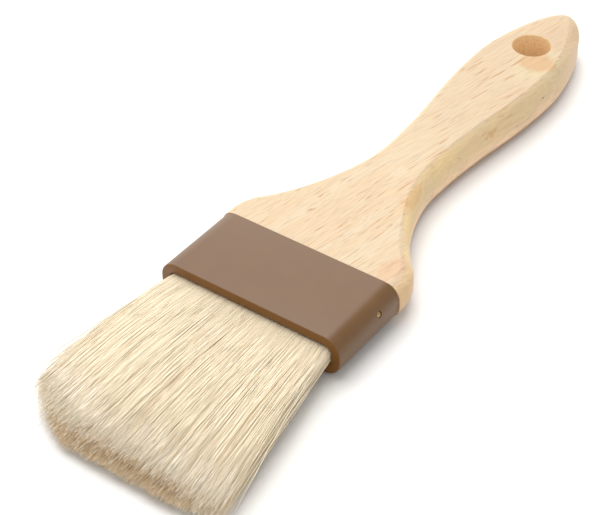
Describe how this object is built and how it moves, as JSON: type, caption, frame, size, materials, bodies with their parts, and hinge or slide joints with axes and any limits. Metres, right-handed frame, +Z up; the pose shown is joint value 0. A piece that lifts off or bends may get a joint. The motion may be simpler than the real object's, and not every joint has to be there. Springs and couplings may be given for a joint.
{
  "type": "pastry brush",
  "caption": "Flat pastry brush with a pale wooden paddle handle, a taupe plastic ferrule and cream natural bristles.",
  "frame": {"origin": "middle of the brush's length and width, on the surface that it lies on", "axes": "+Y along the brush from the bristle tips to the end of the handle, +X across it, +Z up out of the surface it lies on"},
  "size_m": [0.0584, 0.211, 0.013],
  "materials": {
    "handle_wood": "sanded, unvarnished",
    "ferrule_plastic": "satin",
    "pin_brass": "plain",
    "resin": "cast",
    "spacer_wood": "sawn",
    "bristle": "natural hair"
  },
  "bodies": {
    "root": {"handle": "handle_wood", "ferrule": "ferrule_plastic", "ferrule_pin_right": "pin_brass", "ferrule_pin_left": "pin_brass", "resin_plug": "resin", "spacer_strip": "spacer_wood", "bristle_row_upper": "bristle", "bristle_row_lower": "bristle"}
  },
  "joints": []
}
